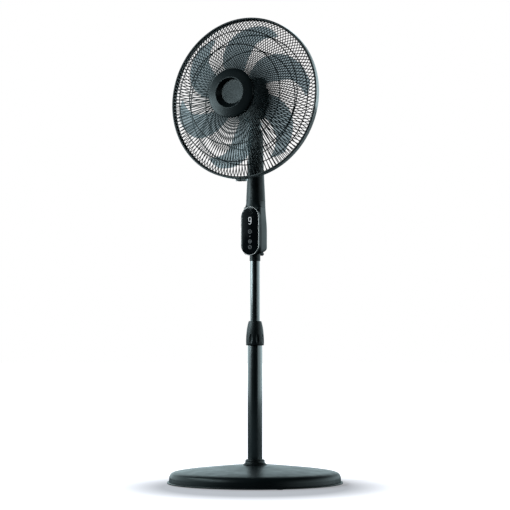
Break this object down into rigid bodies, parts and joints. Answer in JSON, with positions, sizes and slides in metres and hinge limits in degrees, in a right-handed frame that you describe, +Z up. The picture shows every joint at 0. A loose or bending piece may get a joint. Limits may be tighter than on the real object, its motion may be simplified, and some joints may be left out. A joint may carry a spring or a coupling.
{
  "type": "pedestal fan",
  "caption": "Pedestal fan on a round weighted base: telescopic pole, touch panel housing, tapered neck and a round wire cage that oscillates and tilts around a swept-blade rotor.",
  "frame": {"origin": "centre of the base's underside, on the floor", "axes": "+Z up along the pole, -Y the way the air is blown and the panel faces, +X to the right seen from the front"},
  "size_m": [0.456, 0.456, 1.2082],
  "materials": {
    "charcoal_plastic": "satin moulded",
    "charcoal_paint": "satin powder coat",
    "black_plastic": "fine grain moulded",
    "wire_paint": "semi gloss coat on steel wire",
    "smoked_plastic": "smoked translucent moulded",
    "panel_gloss": "high gloss",
    "display_light": "lit segments",
    "silver_trim": "bright plated trim",
    "steel": "machined",
    "iron": "rough cast",
    "alloy": "die cast",
    "copper": "enamelled windings",
    "circuit": "solder mask",
    "nylon": "natural nylon",
    "rubber": "matt"
  },
  "bodies": {
    "stand": {"base_cover": "charcoal_plastic", "base_ring": "black_plastic", "base_weight": "iron", "rubber_foot_1": "rubber", "rubber_foot_2": "rubber", "rubber_foot_3": "rubber", "rubber_foot_4": "rubber", "pole_flange": "steel", "flange_screw_1": "steel", "flange_screw_2": "steel", "flange_screw_3": "steel", "base_collar": "black_plastic", "outer_pole": "charcoal_paint", "pole_bush": "nylon"},
    "collar": {"height_collar": "black_plastic"},
    "riser": {"inner_pole": "charcoal_paint", "pole_end_plug": "nylon", "control_housing": "charcoal_plastic", "panel_bezel": "silver_trim", "touch_panel": "panel_gloss", "control_board": "circuit", "board_screw_1": "steel", "board_screw_2": "steel", "digit_display": "display_light", "pole_socket": "black_plastic", "cord_gland": "rubber", "neck_column": "charcoal_plastic", "oscillation_bearing": "nylon", "oscillation_motor": "steel"},
    "fixing_knob": {"fixing_screw": "black_plastic"},
    "swivel": {"pivot_fork": "charcoal_paint", "tilt_bolt": "steel", "tilt_nut": "steel", "tilt_washer_1": "steel", "tilt_washer_2": "steel"},
    "head": {"head_frame": "alloy", "head_shell_front": "charcoal_plastic", "head_shell_rear": "charcoal_plastic", "shell_screw_1": "steel", "shell_screw_2": "steel", "guard_seat": "black_plastic", "motor_stator": "copper", "motor_end_plate": "alloy", "rear_bearing": "steel", "front_bearing": "steel", "driver_board": "circuit", "rear_guard": "wire_paint", "guard_nut": "black_plastic", "front_guard": "wire_paint", "guard_hoop": "charcoal_plastic", "hoop_screw": "steel", "hoop_nut": "steel", "cap_plate": "charcoal_plastic", "cap_disc": "charcoal_plastic"},
    "rotor": {"motor_shaft": "steel", "motor_rotor": "iron", "drive_pin": "steel", "fan_blade": "smoked_plastic", "blade_nut": "black_plastic"}
  },
  "joints": [
    {"name": "collar_turn", "type": "hinge", "parent": "stand", "child": "collar", "pos_m": [0, 0, 0.39], "axis": [0, 0, 1], "range_deg": [0, 120]},
    {"name": "height_slide", "type": "slide", "parent": "stand", "child": "riser", "axis": [0, 0, 1], "range_m": [-0.15, 0.06]},
    {"name": "fixing_screw_turn", "type": "hinge", "parent": "riser", "child": "fixing_knob", "pos_m": [0, 0.02, 0.598], "axis": [0, 1, 0], "range_deg": [0, 720]},
    {"name": "oscillation", "type": "hinge", "parent": "riser", "child": "swivel", "pos_m": [0, 0.004, 0.923], "axis": [0, 0, 1], "range_deg": [-45, 45]},
    {"name": "head_tilt", "type": "hinge", "parent": "swivel", "child": "head", "pos_m": [0, 0.004, 0.937], "axis": [-1, 0, 0], "range_deg": [-9, 16]},
    {"name": "blade_spin", "type": "hinge", "parent": "head", "child": "rotor", "pos_m": [0, 0.00788, 0.99247], "axis": [0, -0.9976, 0.0698], "continuous": true}
  ]
}
